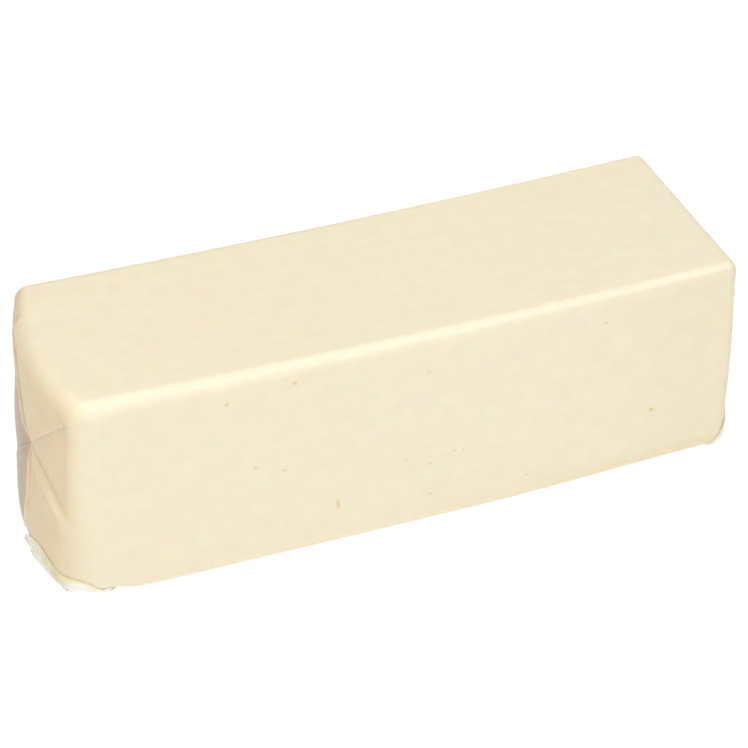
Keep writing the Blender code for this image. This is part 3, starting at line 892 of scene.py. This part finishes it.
level = sum_of(add, (up, 1.0), (cloud, 0.35), start=-0.175)
surface = tree.nodes["Principled BSDF"]
tail_colour = by_height(add, level, TAIL_STOPS)
fin_colour = by_height(add, level, FIN_STOPS)
speck = add("Attribute", {"attribute_name": "speck"}).outputs["Fac"]
clean_colour = between(add, fin, tail_colour, fin_colour)
tree.links.new(between(add, speck, clean_colour, SPECK_GREY), surface.inputs["Base Color"])
surface.inputs["Roughness"].default_value = 0.22
surface.inputs["Coat Weight"].default_value = 0.6
surface.inputs["Coat Roughness"].default_value = 0.12
solid = sum_of(add, (cloud, 0.35), (creased, 0.2), (fin, 0.15), start=0.55)
clear = add("BsdfTransparent")
layer = add("MixShader", Fac=solid)
tree.links.new(clear.outputs[0], layer.inputs[1])
tree.links.new(surface.outputs[0], layer.inputs[2])
tree.links.new(layer.outputs[0], tree.nodes["Material Output"].inputs["Surface"])
collars = (("film_tail_shown", SHOWN_FOOT, SHOWN_TOP, 3), ("film_tail_far", FAR_FOOT_LINE, FAR_TOP, 8))
for name, foot, top, seed in collars:
    tail = make_collar(name, foot, top, seed)
    tail.data.materials.append(tail_finish)
    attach(tail, "root")
    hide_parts("cheese_loaf")


# The studio
# A white sweep under and behind the loaf, lit evenly, with one long soft box over its front edge.

FLOOR_HALF = 3.0
FLOOR_DROP = 0.3 * MM
FLOOR_GREY = (0.12, 0.12, 0.12)
FLOOR_GLOW = 0.93  # the sweep is lit from below, so that hardly a shadow shows
floor_mesh = bpy.data.meshes.new("floor")
corners = [(x * FLOOR_HALF, y * FLOOR_HALF, -FLOOR_DROP) for x, y in ((-1, -1), (1, -1), (1, 1), (-1, 1))]
floor_mesh.from_pydata(corners, [], [(0, 1, 2, 3)])
floor = bpy.data.objects.new("floor", floor_mesh)
bpy.context.scene.collection.objects.link(floor)
floor_finish, tree, add = new_finish("white_sweep")
surface = tree.nodes["Principled BSDF"]
surface.inputs["Base Color"].default_value = (*FLOOR_GREY, 1)
surface.inputs["Roughness"].default_value = 0.9
surface.inputs["Emission Color"].default_value = (1, 1, 1, 1)
surface.inputs["Emission Strength"].default_value = FLOOR_GLOW
floor_mesh.materials.append(floor_finish)

world = bpy.data.worlds.new("studio")
bpy.context.scene.world = world
world.use_nodes = True
ROOM_LIGHT = 0.02  # the room round the sweep is nearly dark
world.node_tree.nodes["Background"].inputs["Color"].default_value = (1, 1, 1, 1)
world.node_tree.nodes["Background"].inputs["Strength"].default_value = ROOM_LIGHT


def soft_box(name, place, aim, size, power, colour):
    """A rectangular light at a place, facing another."""
    lamp = bpy.data.lights.new(name, "AREA")
    lamp.shape = "RECTANGLE"
    lamp.size, lamp.size_y = size
    lamp.energy = power
    lamp.color = colour
    light = bpy.data.objects.new(name, lamp)
    light.location = place
    light.rotation_mode = "QUATERNION"
    light.rotation_quaternion = (Vector(aim) - Vector(place)).to_track_quat("-Z", "Y")
    bpy.context.scene.collection.objects.link(light)
    return light


# Each box: its place, what it faces, its size in metres, its power in watts and its colour.
LOAF_MIDDLE = (0, 0, HALF_HEIGHT)
soft_box("edge_box", (0.32, -0.88, 1.22), LOAF_MIDDLE, (1.05, 0.45), 9.5, (0.47, 0.62, 0.98))
soft_box("top_box", (-0.15, 0.1, 1.35), LOAF_MIDDLE, (1.4, 1.4), 18.1, (1.0, 0.95, 0.865))
soft_box("front_box", (0.0, -1.6, 0.5), LOAF_MIDDLE, (0.9, 0.9), 6.4, (1.0, 0.95, 0.79))
soft_box("side_box", (-0.87, -0.82, 0.42), LOAF_MIDDLE, (0.5, 0.5), 1.72, (1.0, 0.79, 0.60))
soft_box("back_box", (0.9, 1.5, 0.22), LOAF_MIDDLE, (0.9, 0.9), 2.2, (1.0, 0.98, 0.92))

# The camera, where the photograph was taken from: about 1 m away, above the front's left end.
CAMERA_PLACE = (-0.27247, -0.80215, 0.63916)
CAMERA_AZIMUTH, CAMERA_ELEVATION, CAMERA_ROLL = radians(-18.82), radians(35.243), radians(-1.61)
lens = bpy.data.cameras.new("camera")
lens.sensor_width = 36
lens.lens = 129.85
camera = bpy.data.objects.new("camera", lens)
bpy.context.scene.collection.objects.link(camera)
aimed = Matrix.Rotation(CAMERA_AZIMUTH, 4, "Z") @ Matrix.Rotation(pi / 2 - CAMERA_ELEVATION, 4, "X")
camera.matrix_world = Matrix.Translation(CAMERA_PLACE) @ aimed @ Matrix.Rotation(CAMERA_ROLL, 4, "Z")
bpy.context.scene.camera = camera
bpy.context.scene.view_settings.view_transform = "Standard"
